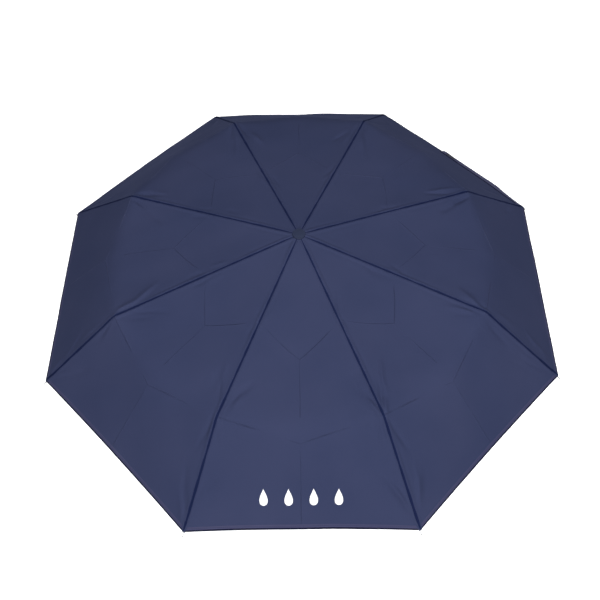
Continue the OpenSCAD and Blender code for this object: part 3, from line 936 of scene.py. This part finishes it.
def make_drops(name, k, places, height=21 * MM):
    """Plain raindrops printed on the cloth: a thin layer that follows it."""
    build = Build()
    across, tall = drop_outline()
    rings = 5
    for u0, v0 in places:
        grow = np.linspace(0.02, 1, rings)[:, None]
        du = -tall[None, :] * grow * height
        dv = across[None, :] * grow * height
        turn = math.copysign(HALF, v0)
        uu = u0 + du * math.cos(turn) - dv * math.sin(turn)
        vv = v0 + du * math.sin(turn) + dv * math.cos(turn)
        points, up = on_cloth(k, uu, vv, 0.12 * MM)
        loop = np.concatenate([points, points[:, :1]], 1)
        normals = np.concatenate([up, up[:, :1]], 1)
        build.grid(loop, normals, uv=np.zeros((*loop.shape[:2], 2)))
    mark = build.object(name, [PRINT])
    with_rib(mark, f"tail_rib_{k}")


DROPS_FROM_HEM = 41 * MM
DROPS_ACROSS = (20 * MM, 60 * MM)  # from the panel's middle, to each side
FRONT_OUT = TIP[0] * math.cos(HALF) - HEM_SAG - DROPS_FROM_HEM


def front_place(side, across):
    """A place on the front panel in its rib's coordinates: across is measured from the panel's middle."""
    turn = side * HALF
    out, off = FRONT_OUT, -side * across
    return out * math.cos(turn) - off * math.sin(turn), out * math.sin(turn) + off * math.cos(turn)


make_drops("print_left", 6, [front_place(1, across) for across in DROPS_ACROSS])
make_drops("print_right", 7, [front_place(-1, across) for across in DROPS_ACROSS])


# ---------------------------------------------------------------- handle


def make_handle():
    """A soft sleeve with fine grip rings between two smooth bands."""
    low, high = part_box("handle")
    r = high[0]
    body_low, body_high = low[2], high[2]
    profile = [(r - 3 * MM, body_low + 0.05 * MM), (r - 0.6 * MM, body_low + 0.05 * MM), (r, body_low + 0.7 * MM),
               (r, body_low + 4 * MM)]
    rings = 9
    first, last = body_low + 4.5 * MM, body_high - 5 * MM
    pitch = (last - first) / rings
    for i in range(rings):
        z = first + i * pitch
        profile += [(r - 0.1 * MM, z), (r - 0.85 * MM, z + 0.22 * pitch), (r - 0.85 * MM, z + 0.4 * pitch),
                    (r - 0.1 * MM, z + 0.62 * pitch), (r, z + 0.8 * pitch)]
    profile += [(r, body_high - 1.2 * MM), (r - 0.4 * MM, body_high - 0.4 * MM), (r - 1.2 * MM, body_high - 0.05 * MM),
                (5 * MM, body_high - 0.05 * MM)]
    sleeve = lathe("grip_sleeve", profile, [RUBBER], steps=128)
    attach(sleeve, "handle")
    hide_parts("handle")


make_handle()


# ---------------------------------------------------------------- materials of the metal and plastic parts


def dress(prefix, finish):
    for name, obj in frame["nodes"].items():
        if name == prefix or name.rstrip("0123456789") == prefix + "_":
            if not obj.material_slots:
                obj.data.materials.append(finish)
            for holder in obj.material_slots:
                holder.material = finish


for prefix in ("top_rib", "mid_rib", "stretcher", "link"):
    dress(prefix, STEEL)
for prefix in ("upper_tube", "middle_tube", "lower_tube", "runner_catch"):
    dress(prefix, TUBE)
for prefix in ("crown", "runner", "handle_cap"):
    dress(prefix, BLACK)
dress("tail_rib", TAIL)
dress("rib_tip", TIP_METAL)
dress("handle_collar", TIP_METAL)


# ---------------------------------------------------------------- camera, light and floor

# the photo's camera, worked out from the corners and the cap
CAMERA_DISTANCE = 1373.9 * MM
CAMERA_ELEVATION = math.radians(58.73)
CAMERA_AZIMUTH = math.radians(1.29)
CAMERA_ROLL = math.radians(-1.76)
CAMERA_LENS_MM = 44.09
TARGET = Vector((-0.67 * MM, -43.67 * MM, CAP_HIGH[2] - 150 * MM))


def make_camera():
    a, e, r = CAMERA_AZIMUTH, CAMERA_ELEVATION, CAMERA_ROLL
    back = Vector((math.sin(a) * math.cos(e), -math.cos(a) * math.cos(e), math.sin(e)))
    right = Vector((math.cos(a), math.sin(a), 0))
    up = back.cross(right)
    rolled_right = right * math.cos(r) + up * math.sin(r)
    rolled_up = up * math.cos(r) - right * math.sin(r)
    data = bpy.data.cameras.new("camera")
    data.lens = CAMERA_LENS_MM
    camera = bpy.data.objects.new("camera", data)
    axes = Matrix((rolled_right, rolled_up, back)).transposed().to_4x4()
    camera.matrix_world = Matrix.Translation(TARGET + back * CAMERA_DISTANCE) @ axes
    bpy.context.scene.collection.objects.link(camera)
    bpy.context.scene.camera = camera


FLOOR_R = 1.6
FLOOR_GLOW = 0.5
BACKDROP_GLOW = 1.0
BACKDROP = ((5.0, 0), (5.7, 0.3), (6.0, 1.0), (6.0, 7.0))  # radius, and height over the floor
WORLD_LIGHT = 0.12
MIDDLE = (0, 0, 0.45)
LAMP_DISTANCE = 3.4
# name, azimuth, elevation and power: fitted to the photo's tones together with the cloth's colours
LAMPS = (("key", 14, 66, 172), ("front_right", 32, 25, 36), ("front_left", -32, 25, 44), ("back", 180, 30, 14))


def glowing_paper(name, glow):
    """White paper that gives off its own light, so that the background stays as white as the photo's."""
    m, _, _, shader = material(name, (0.9, 0.9, 0.9), 0.9)
    shader.inputs["Emission Color"].default_value = (1, 1, 1, 1)
    shader.inputs["Emission Strength"].default_value = glow
    return m


def make_floor():
    """A round white floor, and the sweep of paper that rises round it far away.

    Neither lights the umbrella nor shows in its reflections: only the camera sees them glow."""
    z = CAD_BOX[0][2]
    turn = np.linspace(0, 2 * math.pi, 64, endpoint=False)
    ring = [(FLOOR_R * math.cos(a), FLOOR_R * math.sin(a), z) for a in turn]
    floor = smooth_object("floor", ring, [list(range(64))], [glowing_paper("floor_paper", FLOOR_GLOW)], smooth=False)
    backdrop = lathe("backdrop", [(FLOOR_R, z)] + [(r, z + up) for r, up in BACKDROP],
                     [glowing_paper("backdrop_paper", BACKDROP_GLOW)])
    backdrop.visible_shadow = False
    for piece in (floor, backdrop):
        piece.visible_diffuse = False
        piece.visible_glossy = False


def area_light(name, place, aim, size, power, color=(1, 1, 1)):
    data = bpy.data.lights.new(name, "AREA")
    data.shape = "RECTANGLE"
    data.size, data.size_y = size
    data.energy = power
    data.color = color
    lamp = bpy.data.objects.new(name, data)
    lamp.location = place
    lamp.rotation_mode = "QUATERNION"
    lamp.rotation_quaternion = (Vector(place) - Vector(aim)).to_track_quat("Z", "Y")
    bpy.context.scene.collection.objects.link(lamp)


def lamp_at(name, azimuth, elevation, power, size=1.2):
    """A square soft light that looks at the canopy. Azimuth 0 is in front, and it grows to the right."""
    a, e = math.radians(azimuth), math.radians(elevation)
    away = Vector((math.sin(a) * math.cos(e), -math.cos(a) * math.cos(e), math.sin(e)))
    area_light(name, Vector(MIDDLE) + away * LAMP_DISTANCE, MIDDLE, (size, size), power)


def make_light():
    scene = bpy.context.scene
    scene.view_settings.view_transform = "Standard"
    world = bpy.data.worlds.new("studio")
    scene.world = world
    world.use_nodes = True
    background = world.node_tree.nodes["Background"]
    background.inputs["Color"].default_value = (1, 1, 1, 1)
    background.inputs["Strength"].default_value = WORLD_LIGHT
    for lamp in LAMPS:
        lamp_at(*lamp)


make_camera()
make_light()
make_floor()
